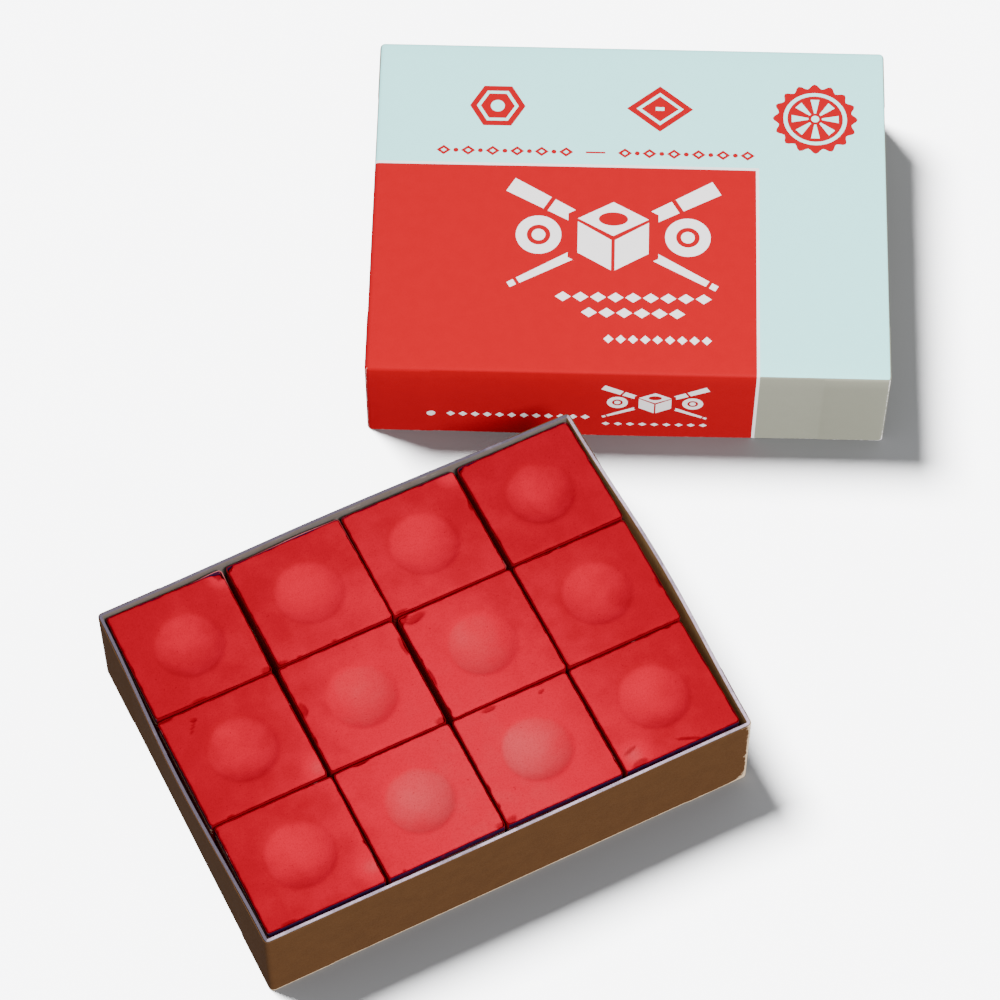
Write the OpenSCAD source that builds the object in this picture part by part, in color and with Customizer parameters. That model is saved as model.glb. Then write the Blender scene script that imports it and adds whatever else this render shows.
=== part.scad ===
// A dozen cue chalk cubes in an open board tray, with the tray's lift-off lid standing beside it.
// The origin is the centre of the tray's underside, +X runs along the tray's long side, +Y along
// its short side towards the back wall, and +Z is up. Millimetres.

/* [Chalk cube] */
// Width of one labelled cube, across each pair of side faces
cube_w = 22; // [20:0.5:24]
// Height of one labelled cube
cube_h = 19.1; // [17:0.1:22]
// Radius of the round hollow's mouth in the top face
hollow_r = 6.4; // [5:0.1:8]
// Depth of the round hollow
hollow_depth = 2.4; // [2:0.1:4]
// Thickness of the label paper
label_t = 0.12; // [0.1:0.01:0.2]
// Height of bare chalk that shows above the label's top edge
label_gap = 0.3; // [0.1:0.1:2]

/* [Dozen] */
// Free length along each row of cubes
slack_x = 2.8; // [2:0.05:4]
// Free length along each column of cubes
slack_y = 2.4; // [1.6:0.05:3]

/* [Box] */
// Thickness of the box board
board_t = 0.5; // [0.5:0.05:1]
// Thickness of the gummed tape that stays the corners
stay_t = 0.1; // [0.08:0.01:0.15]
// Length of each leg of a corner stay
stay_leg = 12; // [6:1:16]
// Thickness of the cover paper
wrap_t = 0.12; // [0.1:0.01:0.2]
// Height of the tray's rim above the cubes' top faces
rim_above = 0.35; // [0.3:0.05:2]
// Gap between the tray's board and the closed lid's board, on each side
lid_clearance = 0.8; // [0.5:0.05:1.5]
// Gap between the tray's rim and the closed lid's inner face
lid_headroom = 0.6; // [0.1:0.02:1]

/* [Lid beside the tray] */
// Gap between the tray's back right corner and the lid's front
lid_gap = 7.5; // [2:0.5:40]
// How far that corner lies to the left of the lid's middle
lid_shift = 10.5; // [-30:0.5:30]
// Turn of the lid about the vertical, anticlockwise
lid_angle = -28; // [-60:1:-10]

/* [Hidden] */
rows = 3;
cols = 4;
// Shares of the free length that lie before each cube of a row, from the left wall on
share_x = [
    [0.12, 0.38, 0.10, 0.32],
    [0.06, 0.28, 0.36, 0.14],
    [0.20, 0.16, 0.16, 0.18]
];
// Shares of the free length that lie behind each cube of a column, from the back wall on
share_y = [
    [0.23, 0.18, 0.23, 0.21],
    [0.19, 0.20, 0.18, 0.19],
    [0.17, 0.18, 0.17, 0.18]
];
// Turn of each cube about the vertical, in degrees
turn = [
    [-0.6, 0.4, -0.3, 0.3],
    [0.3, -0.4, 0.3, -0.2],
    [-0.2, 0.3, -0.3, 0.2]
];

seat_gap = 0.05;       // between a cube and the tray's floor
corner_seam = 0.05;    // between a short wall's end and the long wall beside it
wrap_up = 0.1;         // the cover paper stops this far above the bottom edge
wrap_down = 0.15;      // the tray's cover paper stops this far below the rim
stay_margin = 1;       // the corner stays stop this far from both edges
hollow_fn = 96;

chalk_w = cube_w - 2 * label_t;
hollow_sphere_r = (hollow_r * hollow_r + hollow_depth * hollow_depth) / (2 * hollow_depth);
cube_z = board_t + seat_gap;
rim_z = cube_z + cube_h + rim_above;
skin_t = stay_t + wrap_t;

inner_l = cols * cube_w + slack_x;
inner_w = rows * cube_w + slack_y;
tray_l = inner_l + 2 * board_t;
tray_w = inner_w + 2 * board_t;

lid_l = tray_l + 2 * (skin_t + lid_clearance + board_t);
lid_w = tray_w + 2 * (skin_t + lid_clearance + board_t);
lid_board_h = rim_z + lid_headroom + board_t;

function sum_to(list, last) = last < 0 ? 0 : list[last] + sum_to(list, last - 1);
function column(table, c) = [for (r = [0:rows - 1]) table[r][c]];
function cube_x(r, c) = -inner_l / 2 + slack_x * sum_to(share_x[r], c) + cube_w * (c + 0.5);
function cube_y(r, c) = inner_w / 2 - slack_y * sum_to(column(share_y, c), r) - cube_w * (r + 0.5);
function cell(r, c) = str("r", r + 1, "c", c + 1);

// A plain block that stands on z = 0, centred on the Z axis.
module block(l, w, h) {
    translate([-l / 2, -w / 2, 0]) cube([l, w, h]);
}

// An open-topped box with folded walls: the long walls run the whole length, and the short walls
// stand between them with a fine seam at each corner.
module folded_tray(l, w, h) {
    block(l, w, board_t);
    for (side = [-1, 1]) {
        translate([0, side * (w - board_t) / 2, 0]) block(l, board_t, h);
        translate([side * (l - board_t) / 2, 0, 0])
            block(board_t, w - 2 * (board_t + corner_seam), h);
    }
}

// Four angles of gummed tape on the outside of a folded tray's corners.
module corner_stays(l, w, h) {
    for (sx = [-1, 1]) for (sy = [-1, 1])
        scale([sx, sy, 1])
            translate([l / 2 + stay_t, w / 2 + stay_t, stay_margin])
                linear_extrude(height = h - 2 * stay_margin)
                    polygon([
                        [0, 0], [-stay_leg, 0], [-stay_leg, -stay_t],
                        [-stay_t, -stay_t], [-stay_t, -stay_leg], [0, -stay_leg]
                    ]);
}

// A band of cover paper round a box of the given board size, over the corner stays.
module paper_band(l, w, low, high) {
    translate([0, 0, low]) difference() {
        block(l + 2 * skin_t, w + 2 * skin_t, high - low);
        translate([0, 0, -1]) block(l + 2 * stay_t, w + 2 * stay_t, high - low + 2);
    }
}

module at_cube(r, c) {
    translate([cube_x(r, c), cube_y(r, c), cube_z]) rotate([0, 0, turn[r][c]]) children();
}

module at_lid() {
    translate([tray_l / 2 + skin_t, tray_w / 2 + skin_t, 0]) rotate([0, 0, lid_angle])
        translate([lid_shift, lid_gap + lid_w / 2, 0]) children();
}

// The pressed chalk, with the hollow that takes the cue's tip.
module chalk_block() {
    color("crimson") difference() {
        translate([0, 0, label_t]) block(chalk_w, chalk_w, cube_h - label_t);
        translate([0, 0, cube_h - hollow_depth + hollow_sphere_r])
            sphere(r = hollow_sphere_r, $fn = hollow_fn);
    }
}

// The label that covers the chalk's four sides and its underside.
module paper_label() {
    color("firebrick") difference() {
        block(cube_w, cube_w, cube_h - label_gap);
        translate([0, 0, label_t]) block(chalk_w, chalk_w, cube_h);
    }
}

module tray_board() {
    color("lightslategray") folded_tray(tray_l, tray_w, rim_z);
}

module tray_corner_stays() {
    color("burlywood") corner_stays(tray_l, tray_w, rim_z);
}

module tray_wrap() {
    color("saddlebrown") paper_band(tray_l, tray_w, wrap_up, rim_z - wrap_down);
}

module lid_board() {
    color("lightgray") at_lid()
        translate([0, 0, lid_board_h]) mirror([0, 0, 1])
            folded_tray(lid_l - 2 * skin_t, lid_w - 2 * skin_t, lid_board_h);
}

module lid_corner_stays() {
    color("burlywood") at_lid() corner_stays(lid_l - 2 * skin_t, lid_w - 2 * skin_t, lid_board_h);
}

module lid_wrap() {
    color("tomato") at_lid() difference() {
        translate([0, 0, wrap_up]) block(lid_l, lid_w, lid_board_h + wrap_t - wrap_up);
        block(lid_l - 2 * wrap_t, lid_w - 2 * wrap_t, lid_board_h);
    }
}

tray_board();
tray_corner_stays();
tray_wrap();
lid_board();
lid_corner_stays();
lid_wrap();
for (r = [0:rows - 1]) for (c = [0:cols - 1]) {
    at_cube(r, c) chalk_block();
    at_cube(r, c) paper_label();
}
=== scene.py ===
import math
import random

import bmesh
import bpy
from mathutils import Matrix, Vector, noise
from mathutils.geometry import delaunay_2d_cdt


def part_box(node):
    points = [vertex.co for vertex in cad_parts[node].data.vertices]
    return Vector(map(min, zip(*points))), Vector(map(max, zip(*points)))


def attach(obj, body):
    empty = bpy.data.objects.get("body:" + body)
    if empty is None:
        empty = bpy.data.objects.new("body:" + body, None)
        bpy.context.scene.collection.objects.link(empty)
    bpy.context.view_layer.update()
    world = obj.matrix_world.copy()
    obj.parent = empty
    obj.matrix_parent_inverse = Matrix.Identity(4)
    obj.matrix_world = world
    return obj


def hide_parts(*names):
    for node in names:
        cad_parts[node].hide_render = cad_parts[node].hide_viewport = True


# A dozen red cue chalk cubes in an open board tray, with the box's lift-off lid standing beside it.
# Shapes are worked out in millimetres in each part's own frame, and placed where the CAD parts are.

MM = 0.001
SEED = 12

# Places of the rows and columns of cubes: row 1 is at the back, column 1 on the left.
ROWS = 3
COLUMNS = 4

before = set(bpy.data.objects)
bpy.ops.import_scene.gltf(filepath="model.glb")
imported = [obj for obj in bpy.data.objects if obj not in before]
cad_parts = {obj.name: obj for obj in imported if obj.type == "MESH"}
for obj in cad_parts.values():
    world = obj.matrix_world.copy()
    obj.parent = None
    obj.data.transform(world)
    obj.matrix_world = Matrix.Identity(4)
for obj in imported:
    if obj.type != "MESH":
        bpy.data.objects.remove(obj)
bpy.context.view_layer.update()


# ---------- The CAD model's sizes ----------

def turn_of(node):
    """How far a CAD node is turned about the vertical, from -45 to 45 degrees, in radians."""
    walls = [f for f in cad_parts[node].data.polygons if abs(f.normal.z) < 0.1]
    normal = max(walls, key=lambda f: f.area).normal
    quarter = math.pi / 2
    return (math.atan2(normal.y, normal.x) + quarter / 2) % quarter - quarter / 2


def size_of(node):
    """A CAD node's length, width and height in its own turned frame, in millimetres."""
    back = Matrix.Rotation(-turn_of(node), 3, "Z")
    corners = [back @ v.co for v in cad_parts[node].data.vertices]
    return Vector([max(c[i] for c in corners) - min(c[i] for c in corners) for i in range(3)]) / MM


def place_of(node):
    """The middle of a CAD node's underside, turned as the node is."""
    low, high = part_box(node)
    middle = Matrix.Translation(((low.x + high.x) / 2, (low.y + high.y) / 2, low.z))
    return middle @ Matrix.Rotation(turn_of(node), 4, "Z")


def board_of(node):
    """The thickness of a folded board node's floor, which is also that of its walls, in millimetres."""
    levels = sorted({round(v.co.z / MM, 2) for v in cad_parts[node].data.vertices})
    return min(levels[1] - levels[0], levels[-1] - levels[-2])


# ---------- Camera, floor and lights ----------

CAMERA_AIM = Vector((32.2, 34.5, 0.0)) * MM
CAMERA_DISTANCE = 760.0 * MM
CAMERA_AZIMUTH = math.radians(-26.5)
CAMERA_ELEVATION = math.radians(60.0)
CAMERA_LENS = 150.0

SKY_STRENGTH = 1.15
GROUND_STRENGTH = 0.4
HORIZON = 0.1           # the surroundings change brightness this far above and below the horizon

# Round lamps that light the object: the size in metres, the azimuth round from the camera's and the
# elevation in degrees, the power in watts and the distance in metres.
OBJECT_LAMPS = {
    "key": (0.28, 32, 53, 13.5, 0.9),
    "back": (0.5, 205, 50, 3.5, 1.0),
}

# The floor's lamp, which is far away: its azimuth, elevation, strength and how wide it looks.
FLOOR_LAMP = (231, 55, 96.0)
FLOOR_LAMP_ANGLE = math.radians(22)


def direction(azimuth, elevation):
    """A unit vector at an azimuth and an elevation in radians; azimuth 0 is along -Y."""
    flat = math.cos(elevation)
    return Vector((math.sin(azimuth) * flat, -math.cos(azimuth) * flat, math.sin(elevation)))


def look_at(thing, target):
    thing.rotation_euler = (target - thing.location).to_track_quat("-Z", "Y").to_euler()


def add_camera():
    camera = bpy.data.objects.new("camera", bpy.data.cameras.new("camera"))
    bpy.context.scene.collection.objects.link(camera)
    camera.data.lens = CAMERA_LENS
    camera.location = CAMERA_AIM + direction(CAMERA_AZIMUTH, CAMERA_ELEVATION) * CAMERA_DISTANCE
    look_at(camera, CAMERA_AIM)
    bpy.context.scene.camera = camera


def add_lamp(name, kind, floor, state, azimuth, elevation, power, distance=1.0):
    """A lamp that lights only the floor (state INCLUDE) or everything but the floor (EXCLUDE).

    It shares the camera's aim, and its azimuth in degrees is counted round from the camera's.
    """
    lamp = bpy.data.objects.new(name, bpy.data.lights.new(name, kind))
    bpy.context.scene.collection.objects.link(lamp)
    lamp.data.energy = power
    towards = direction(CAMERA_AZIMUTH + math.radians(azimuth), math.radians(elevation))
    lamp.location = CAMERA_AIM + towards * distance
    look_at(lamp, CAMERA_AIM)
    lit = bpy.data.collections.new(f"lit_by_{name}")
    lit.objects.link(floor)
    lit.collection_objects[0].light_linking.link_state = state
    lamp.light_linking.receiver_collection = lit
    return lamp


def set_limits(node, low, high, to_low, to_high):
    """Sets the ranges that a Map Range node maps from and to."""
    limits = {"From Min": low, "From Max": high, "To Min": to_low, "To Max": to_high}
    for name, limit in limits.items():
        node.inputs[name].default_value = limit


def add_studio():
    """A plain pale floor, a soft key lamp on the right, a weaker lamp behind, and fill from all round.

    The floor has a lamp of its own, behind on the left, so that it stays bright and its shadows fall
    to the front right. The floor neither mirrors nor throws light back on the object.
    """
    world = bpy.data.worlds.new("studio")
    bpy.context.scene.world = world
    world.use_nodes = True
    sky = world.node_tree.nodes["Background"]
    sky.inputs["Color"].default_value = (0.96, 0.98, 1.0, 1.0)
    ways = world.node_tree.nodes.new("ShaderNodeTexCoord")
    height = world.node_tree.nodes.new("ShaderNodeSeparateXYZ")
    strength = world.node_tree.nodes.new("ShaderNodeMapRange")
    set_limits(strength, -HORIZON, HORIZON, GROUND_STRENGTH, SKY_STRENGTH)
    world.node_tree.links.new(ways.outputs["Generated"], height.inputs["Vector"])
    world.node_tree.links.new(height.outputs["Z"], strength.inputs["Value"])
    world.node_tree.links.new(strength.outputs["Result"], sky.inputs["Strength"])

    bpy.ops.mesh.primitive_plane_add(size=8.0, location=(0.0, 0.0, -0.02 * MM))
    floor = bpy.context.object
    floor.name = "studio_floor"
    floor.data.materials.append(floor_material())
    floor.visible_diffuse = False
    floor.visible_glossy = False

    for name, (size, *settings) in OBJECT_LAMPS.items():
        lamp = add_lamp(name, "AREA", floor, "EXCLUDE", *settings)
        lamp.data.shape = "DISK"
        lamp.data.size = size
    lamp = add_lamp("floor_lamp", "SUN", floor, "INCLUDE", *FLOOR_LAMP)
    lamp.data.angle = FLOOR_LAMP_ANGLE


# ---------- Materials ----------

def srgb(red, green, blue):
    """A colour given by its 0 to 255 screen values, as linear values."""
    def linear(value):
        value /= 255
        return value / 12.92 if value <= 0.04045 else ((value + 0.055) / 1.055) ** 2.4
    return (linear(red), linear(green), linear(blue), 1.0)


class Surface:
    """One material's node graph, wired by short calls that each return a node's output."""

    def __init__(self, name, roughness, specular=0.3):
        self.material = bpy.data.materials.new(name)
        self.material.use_nodes = True
        self.tree = self.material.node_tree
        self.shader = self.tree.nodes["Principled BSDF"]
        self.shader.inputs["Roughness"].default_value = roughness
        self.shader.inputs["Specular IOR Level"].default_value = specular
        self.place = self.add("ShaderNodeTexCoord").outputs["Object"]
        self.noise_place = self.place

    def scatter(self):
        """Shifts the noise by each piece's own number, so that no two pieces look the same."""
        moved = self.add("ShaderNodeVectorMath", {"operation": "ADD"})
        self.feed(moved.inputs[0], self.place)
        self.feed(moved.inputs[1], self.painted("shift"))
        self.noise_place = moved.outputs["Vector"]

    def add(self, kind, settings=None, **values):
        node = self.tree.nodes.new(kind)
        for name, value in (settings or {}).items():
            setattr(node, name, value)
        for name, value in values.items():
            self.feed(node.inputs[name.replace("_", " ")], value)
        return node

    def feed(self, socket, value):
        if isinstance(value, bpy.types.NodeSocket):
            self.tree.links.new(value, socket)
        else:
            socket.default_value = value

    def math(self, operation, *values):
        node = self.add("ShaderNodeMath", {"operation": operation})
        for socket, value in zip(node.inputs, values):
            self.feed(socket, value)
        return node.outputs["Value"]

    def grain(self, size, detail=3.0, stretch=(1, 1, 1), roughness=0.55):
        """Noise from 0 to 1 with features about size millimetres across, stretched along the axes."""
        scaled = self.add("ShaderNodeMapping", Vector=self.noise_place, Scale=[1 / s for s in stretch])
        node = self.add("ShaderNodeTexNoise", Vector=scaled.outputs["Vector"], Scale=1 / (size * MM),
                        Detail=detail, Roughness=roughness)
        return node.outputs["Fac"]

    def step(self, value, low, high, to_low=0.0, to_high=1.0):
        """value brought smoothly from the range low..high to the range to_low..to_high."""
        node = self.add("ShaderNodeMapRange", {"interpolation_type": "SMOOTHSTEP"}, Value=value)
        set_limits(node, low, high, to_low, to_high)
        return node.outputs["Result"]

    def mix(self, share, first, second):
        node = self.add("ShaderNodeMix", {"data_type": "RGBA"})
        self.feed(node.inputs[0], share)
        self.feed(node.inputs[6], first)
        self.feed(node.inputs[7], second)
        return node.outputs[2]

    def painted(self, name):
        """A number that the piece's mesh carries at each vertex."""
        return self.add("ShaderNodeAttribute", {"attribute_name": name}).outputs["Fac"]

    def paint(self, colour):
        self.feed(self.shader.inputs["Base Color"], colour)

    def roughen(self, value):
        self.feed(self.shader.inputs["Roughness"], value)

    def relief(self, *layers):
        """Bumps the surface: each layer is a height from 0 to 1 and its depth in millimetres."""
        normal = None
        for height, depth in layers:
            node = self.add("ShaderNodeBump", Height=height, Distance=depth * MM)
            node.inputs["Strength"].default_value = 1.0
            if normal is not None:
                self.feed(node.inputs["Normal"], normal)
            normal = node.outputs["Normal"]
        self.feed(self.shader.inputs["Normal"], normal)


CHALK_RED = (0.240, 0.0008, 0.0071, 1.0)
CHALK_DEEP = (0.118, 0.0, 0.0017, 1.0)
# Paler reds for dust, also used for a painted pool of light and a painted highlight in the hollows.
CHALK_PALE = (0.400, 0.0025, 0.0168, 1.0)
CHALK_PINK = (0.395, 0.035, 0.045, 1.0)
# The label's cut edge: chalk-dusted red darkened as painted shade, so that the seams read dark.
EDGE_SHADE_RED = (0.060, 0.0, 0.0008, 1.0)
LABEL_SIDE = 10.7       # the label's folds begin about this far from its middle
LABEL_MIDDLE = 9.4      # height of the middle of the label's print
LABEL_BORDER = 8.1      # the label is dark further than this above and below its middle
LABEL_RED = srgb(150, 10, 16)
# Navy of the label's printed border; bare on sides facing the tray's walls, it also stands for painted
# shade in the gap.
LABEL_NAVY = (0.016, 0.004, 0.034, 1.0)
LABEL_CREAM = srgb(214, 196, 168)
PAPER_CORE = srgb(160, 84, 86)
BOARD_GREY = srgb(103, 96, 92)
# The tray's right inner wall: brown made lighter to make up for the shade it stands in, painted light.
BOARD_BROWN_LIT = srgb(142, 104, 62)
BOARD_EDGE = (0.450, 0.345, 0.430, 1.0)
EDGE_DARK = (0.040, 0.035, 0.050, 1.0)
WRAP_BROWN = (0.089, 0.039, 0.0145, 1.0)
WRAP_WORN = srgb(206, 180, 150)
LID_RED = (0.40, 0.0012, 0.0068, 1.0)
LID_MINT = (0.42, 0.97, 0.95, 1.0)
# The lid's sides: the mint paper as a darker, warmer grey, painted shade.
LID_SIDE_SHADE = (0.30, 0.30, 0.235, 1.0)
LID_WHITE = srgb(246, 240, 240)
LID_SCUFF = srgb(232, 150, 140)
TAPE_KRAFT = srgb(176, 137, 90)
FLOOR_GREY = (0.30, 0.30, 0.305, 1.0)


def floor_material():
    surface = Surface("floor_paper", 0.9, 0.0)
    surface.paint(surface.mix(surface.grain(60.0), FLOOR_GREY, (0.28, 0.28, 0.285, 1.0)))
    surface.relief((surface.grain(0.6), 0.01))
    return surface.material


def chalk_material():
    """Pressed chalk: grit and pores, cloudy dust, a paler hollow, and deeper red where it is chipped; the
    paleness also carries a painted pool of light and a painted highlight in the hollow.
    """
    surface = Surface("pressed_chalk", 0.95, 0.02)
    surface.scatter()
    grit = surface.grain(0.3, 2.0, roughness=0.7)
    pores = surface.grain(0.5, 1.0)
    cloud = surface.step(surface.grain(5.0, 4.0), 0.3, 0.7, -0.12, 0.12)
    # Dust with painted light: the pool of light over the tray and the hollow's highlight come in through
    # this attribute.
    dust_and_light = surface.math("ADD", surface.painted("dust_and_light"), cloud)
    colour = surface.mix(surface.step(dust_and_light, 0.0, 1.0), CHALK_RED, CHALK_PALE)
    colour = surface.mix(surface.step(dust_and_light, 0.9, 2.3), colour, CHALK_PINK)
    colour = surface.mix(surface.step(grit, 0.4, 0.75, 0.0, 0.2), colour, CHALK_DEEP)
    colour = surface.mix(surface.step(pores, 0.74, 0.8, 0.0, 0.35), colour, CHALK_DEEP)
    surface.paint(surface.mix(surface.painted("chip"), colour, CHALK_DEEP))
    surface.roughen(surface.step(grit, 0.2, 0.8, 0.9, 1.0))
    sunk_pores = surface.step(pores, 0.72, 0.8, 1.0, 0.0)
    surface.relief((surface.grain(1.2, 4.0), 0.05), (sunk_pores, 0.03), (grit, 0.03))
    return surface.material


def label_material():
    """A red paper label: dark borders, cream rules and a lozenge on each side, chalk dust near its top;
    the dust is also painted shade between cubes, and the bare dark border painted shade by the walls.
    """
    surface = Surface("printed_label", 0.55, 0.15)
    surface.scatter()
    x, y, z = surface.add("ShaderNodeSeparateXYZ", Vector=surface.place).outputs
    across_x = surface.math("ABSOLUTE", x)
    across_y = surface.math("ABSOLUTE", y)
    along = surface.math("MINIMUM", across_x, across_y)
    up = surface.math("ABSOLUTE", surface.math("SUBTRACT", z, LABEL_MIDDLE * MM))
    on_side = surface.math("GREATER_THAN", surface.math("MAXIMUM", across_x, across_y), LABEL_SIDE * MM)

    def band(value, low, high):
        above = surface.step(value, (low - 0.05) * MM, (low + 0.05) * MM)
        below = surface.step(value, (high - 0.05) * MM, (high + 0.05) * MM, 1.0, 0.0)
        return surface.math("MULTIPLY", above, below)

    lozenge = surface.math("ADD", surface.math("MULTIPLY", along, 0.7), up)
    marks = surface.math("MAXIMUM", band(up, 7.2, 7.7), band(up, 6.3, 6.5))
    marks = surface.math("MAXIMUM", marks, band(lozenge, 3.9, 4.5))
    marks = surface.math("MAXIMUM", marks, band(lozenge, -1.0, 2.4))
    marks = surface.math("MULTIPLY", marks, on_side)
    worn = surface.step(surface.math("ADD", surface.painted("worn"), surface.grain(0.5, 4.0)), 1.05, 1.3)
    ink = surface.mix(surface.step(surface.grain(0.35), 0.3, 0.7, 0.0, 0.25), LABEL_RED, CHALK_DEEP)
    colour = surface.mix(marks, ink, LABEL_CREAM)
    # The printed navy border, which also stands for painted shade where it is left bare beside the tray's
    # walls.
    border = surface.math("MULTIPLY", band(up, LABEL_BORDER, LABEL_BORDER + 4.0), on_side)
    colour = surface.mix(border, colour, LABEL_NAVY)
    colour = surface.mix(worn, colour, PAPER_CORE)
    # Chalk dust near the top, which also stands for painted shade in the gaps between cubes.
    dust_and_shade = surface.math("ADD", surface.painted("dust_and_shade"), surface.grain(1.6, 5.0))
    surface.paint(surface.mix(surface.step(dust_and_shade, 0.5, 0.95, 0.0, 0.95), colour, CHALK_RED))
    surface.relief((surface.grain(0.5, 4.0, (1, 1, 3)), 0.02))
    return surface.material


def label_edge_material():
    """The label's cut edge: dark red chalk dust with painted shade, so that the seams read dark, with
    pale paper showing in places.
    """
    surface = Surface("label_cut_edge", 0.9, 0.05)
    surface.scatter()
    # Chalk dust darkened as painted shade in the seams.
    dust_and_shade = surface.mix(surface.step(surface.grain(1.2, 4.0), 0.35, 0.65), EDGE_SHADE_RED, CHALK_DEEP)
    bare = surface.step(surface.grain(3.5, 3.0), 0.66, 0.74, 0.0, 0.25)
    bare = surface.math("MAXIMUM", bare, surface.painted("bare"))
    surface.paint(surface.mix(bare, dust_and_shade, PAPER_CORE))
    surface.relief((surface.grain(0.3, 3.0), 0.02))
    return surface.material


def board_material(name, first, second, flecks=0.35):
    """Unlined box board: matted grey and brown fibres with darker and lighter flecks."""
    surface = Surface(name, 0.88, 0.2)
    fibre = surface.grain(0.9, 5.0, (3, 1, 1))
    colour = surface.mix(surface.step(surface.grain(9.0, 3.0), 0.35, 0.65), first, second)
    colour = surface.mix(surface.step(fibre, 0.5, 0.8, 0.0, flecks), colour, srgb(70, 58, 48))
    colour = surface.mix(surface.step(fibre, 0.42, 0.2, 0.0, flecks), colour, srgb(196, 184, 168))
    surface.paint(colour)
    surface.relief((fibre, 0.03), (surface.grain(0.15), 0.01))
    return surface.material


def board_edge_material(name, far_dark):
    """The cut rim of the board: fibrous, streaked pale and dark along its length, or mostly dark."""
    surface = Surface(name, 0.85, 0.05)
    fibre = surface.grain(0.35, 4.0)
    # Mostly dark along the back and left rims, which are darker.
    streak = surface.step(surface.grain(7.0, 3.0), 0.1 if far_dark else 0.45, 0.4 if far_dark else 0.62)
    colour = surface.mix(surface.step(fibre, 0.4, 0.75, 0.0, 0.5), BOARD_EDGE, EDGE_DARK)
    share = surface.math("MULTIPLY", streak, 0.9 if far_dark else 0.45)
    surface.paint(surface.mix(share, colour, EDGE_DARK))
    surface.relief((fibre, 0.04))
    return surface.material


def paper_material(name, colour, worn_colour, roughness, mottle, specular, show_through=0.0):
    """Cover paper: inked or dyed, rubbed through at its folds, and darker where tape shows through."""
    surface = Surface(name, roughness, specular)
    dark = tuple(c * 0.72 for c in colour[:3]) + (1.0,)
    fine = surface.grain(0.25, 3.0)
    tone = surface.math("ADD", surface.step(surface.grain(2.4, 4.0), 0.3, 0.7, 0.0, mottle),
                        surface.step(fine, 0.35, 0.8, 0.0, mottle))
    ink = surface.mix(tone, colour, dark)
    ink = surface.mix(surface.math("MULTIPLY", surface.painted("stay"), show_through), ink, dark)
    rub = surface.math("ADD", surface.painted("worn"), surface.grain(0.8, 5.0, roughness=0.7))
    worn = surface.step(rub, 1.12, 1.32)
    surface.paint(surface.mix(worn, ink, worn_colour))
    surface.roughen(surface.step(fine, 0.3, 0.7, roughness - 0.07, roughness + 0.1))
    surface.relief((surface.grain(1.6, 4.0), 0.02), (fine, 0.008))
    return surface.material


def make_materials():
    """Every material, by the name of its ink or stuff."""
    materials = {
        "chalk": chalk_material(),
        "label": label_material(),
        "core": label_edge_material(),
        "board": board_material("grey_board", BOARD_GREY, srgb(104, 92, 84)),
        # The tray's right inner wall: brown made lighter, painted light against its shade.
        "brown_board": board_material("brown_board", BOARD_BROWN_LIT, srgb(150, 116, 74), 0.2),
        "board_edge": board_edge_material("cut_board_edge", False),
        # The back and left rims are darker.
        "soiled_edge": board_edge_material("far_dark_board_edge", True),
        "lid_board": board_material("lid_board_inside", srgb(150, 142, 130), srgb(136, 124, 110)),
    }
    # A paper's material name, ink, colour where worn, roughness, mottling, gloss and how far tape shows.
    papers = {
        "brown": ("brown_cover_paper", WRAP_BROWN, WRAP_WORN, 0.65, 0.3, 0.05),
        "red": ("red_ink", LID_RED, LID_SCUFF, 0.5, 0.12, 0.03),
        "mint": ("mint_ink", LID_MINT, LID_WHITE, 0.5, 0.04, 0.1),
        # The lid's sides: painted shade, a darker, warmer grey in place of the mint paper.
        "side": ("unprinted_side", LID_SIDE_SHADE, LID_WHITE, 0.6, 0.08, 0.05, 0.3),
        "white": ("bare_paper", LID_WHITE, LID_WHITE, 0.55, 0.05, 0.1),
        "tape": ("kraft_tape", TAPE_KRAFT, srgb(200, 168, 124), 0.5, 0.3, 0.1),
    }
    for ink, settings in papers.items():
        materials[ink] = paper_material(*settings)
    return materials


# ---------- Meshes ----------

def blend(first, second, share):
    return first + (second - first) * share


def fbm(point, size, seed):
    """Smooth noise from about -1 to 1 with features about size millimetres across."""
    return noise.noise((point + Vector((seed * 17.3, seed * -9.1, seed * 5.7))) / size)


SHARP_ANGLE = math.radians(38)


def make_piece(name, node, body, points, faces, inks, materials, painted, drop=0.0):
    """Makes one piece from points in millimetres in a CAD node's own frame, in the node's stead."""
    mesh = bpy.data.meshes.new(name)
    mesh.from_pydata([Vector(p) * MM for p in points], [], faces)
    used = sorted(set(inks))
    for ink in used:
        mesh.materials.append(materials[ink])
    mesh.polygons.foreach_set("material_index", [used.index(ink) for ink in inks])
    for key, values in painted.items():
        mesh.attributes.new(key, "FLOAT", "POINT").data.foreach_set("value", values)
    mesh.polygons.foreach_set("use_smooth", [True] * len(faces))
    mesh.set_sharp_from_angle(angle=SHARP_ANGLE)
    mesh.validate()
    piece = bpy.data.objects.new(name, mesh)
    bpy.context.scene.collection.objects.link(piece)
    piece.matrix_world = place_of(node) @ Matrix.Translation((0, 0, -drop * MM))
    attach(piece, body)
    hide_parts(node)
    return piece


def ring_skin(rings):
    """Faces through rings of equally many points, closed at both ends by a fan round a middle point."""
    count = len(rings[0])
    points = [p for ring in rings for p in ring]
    faces = []
    for r in range(len(rings) - 1):
        for i in range(count):
            j = (i + 1) % count
            faces.append((r * count + i, r * count + j, (r + 1) * count + j, (r + 1) * count + i))
    first, last = len(points), len(points) + 1
    points += [sum(rings[0], Vector()) / count, sum(rings[-1], Vector()) / count]
    top = (len(rings) - 1) * count
    for i in range(count):
        j = (i + 1) % count
        faces.append((first, j, i))
        faces.append((last, top + i, top + j))
    return points, faces


SIDE_POINTS = 64
CORNER_POINTS = 6


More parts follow.
